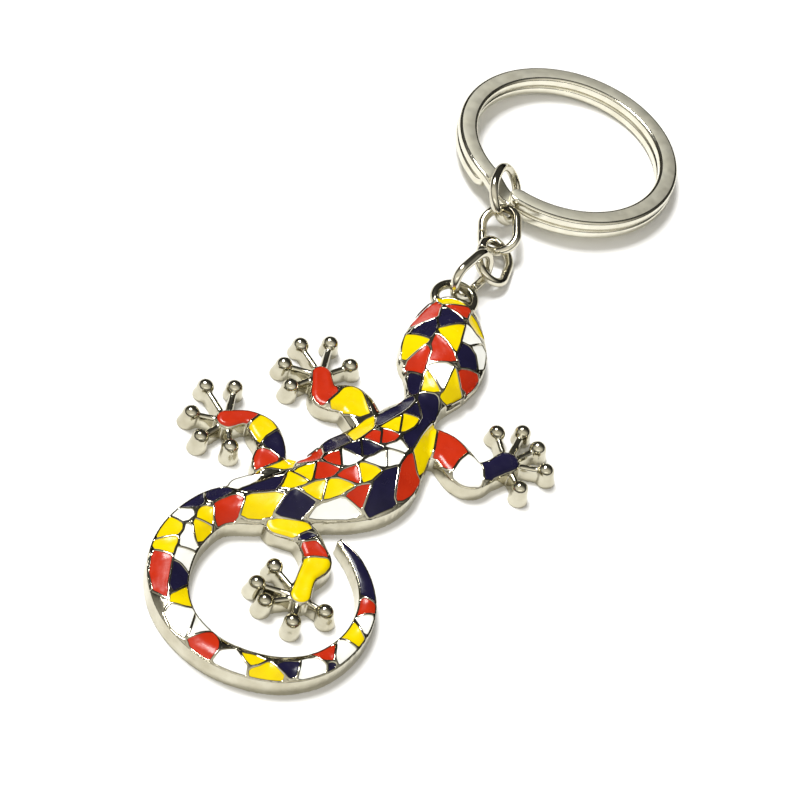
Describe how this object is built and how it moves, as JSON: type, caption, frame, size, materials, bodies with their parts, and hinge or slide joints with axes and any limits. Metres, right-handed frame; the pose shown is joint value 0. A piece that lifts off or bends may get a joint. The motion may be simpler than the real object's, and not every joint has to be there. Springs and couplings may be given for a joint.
{
  "type": "keychain",
  "caption": "Gecko keychain: a flat-backed domed casting with a curled tail and inlaid enamel mosaic, hung by a short chain of wire links from a two-coil split ring.",
  "frame": {"origin": "on the flat back of the casting, under the gecko's neck", "axes": "+Z out of the flat back towards the enamelled side, +Y from the curled tail towards the split ring, +X to the right"},
  "size_m": [0.0511, 0.1141, 0.0066],
  "materials": {
    "casting_nickel": "polished nickel plate on a zinc casting",
    "ring_steel": "nickel-plated flat spring wire, satin on its flat sides",
    "link_steel": "nickel-plated round wire, bright",
    "enamel_red": "glossy enamel",
    "enamel_yellow": "glossy enamel",
    "enamel_navy": "glossy enamel",
    "enamel_white": "glossy enamel"
  },
  "bodies": {
    "gecko": {"gecko_casting": "casting_nickel", "head_enamel_red": "enamel_red", "head_enamel_yellow": "enamel_yellow", "head_enamel_navy": "enamel_navy", "head_enamel_white": "enamel_white", "trunk_enamel_red": "enamel_red", "trunk_enamel_yellow": "enamel_yellow", "trunk_enamel_navy": "enamel_navy", "trunk_enamel_white": "enamel_white", "tail_enamel_red": "enamel_red", "tail_enamel_yellow": "enamel_yellow", "tail_enamel_navy": "enamel_navy", "tail_enamel_white": "enamel_white", "front_left_leg_enamel_red": "enamel_red", "front_left_leg_enamel_yellow": "enamel_yellow", "front_right_leg_enamel_red": "enamel_red", "front_right_leg_enamel_white": "enamel_white", "front_right_leg_enamel_navy": "enamel_navy", "hind_left_leg_enamel_red": "enamel_red", "hind_left_leg_enamel_yellow": "enamel_yellow", "hind_left_leg_enamel_navy": "enamel_navy", "hind_left_leg_enamel_white": "enamel_white", "hind_right_leg_enamel_red": "enamel_red", "hind_right_leg_enamel_yellow": "enamel_yellow", "hind_right_leg_enamel_navy": "enamel_navy"},
    "link_1": {"chain_link_1": "link_steel"},
    "link_2": {"chain_link_2": "link_steel"},
    "link_3": {"chain_link_3": "link_steel"},
    "link_4": {"chain_link_4": "link_steel"},
    "ring": {"split_ring": "ring_steel"}
  },
  "joints": [
    {"name": "link_1_swing", "type": "hinge", "parent": "gecko", "child": "link_1", "pos_m": [0.001, 0.02052, 0.0021], "axis": [-0.866, 0.5, 0], "range_deg": [-60, 65]},
    {"name": "link_2_swing", "type": "hinge", "parent": "link_1", "child": "link_2", "pos_m": [0.00272, 0.0249, 0.00177], "axis": [0.102, 0.6327, 0.7676], "range_deg": [-70, 8]},
    {"name": "link_3_swing", "type": "hinge", "parent": "link_2", "child": "link_3", "pos_m": [0.00303, 0.03054, 0.00178], "axis": [0.8562, 0.076, -0.5111], "range_deg": [-28, 32]},
    {"name": "link_4_swing", "type": "hinge", "parent": "link_3", "child": "link_4", "pos_m": [0.00279, 0.03589, 0.00306], "axis": [0.8932, -0.245, 0.3771], "range_deg": [-65, 65]},
    {"name": "ring_turn", "type": "hinge", "parent": "link_4", "child": "ring", "pos_m": [0.0083, 0.0509, 0.00075], "axis": [0.0333, 0.037, 0.9988], "continuous": true}
  ]
}
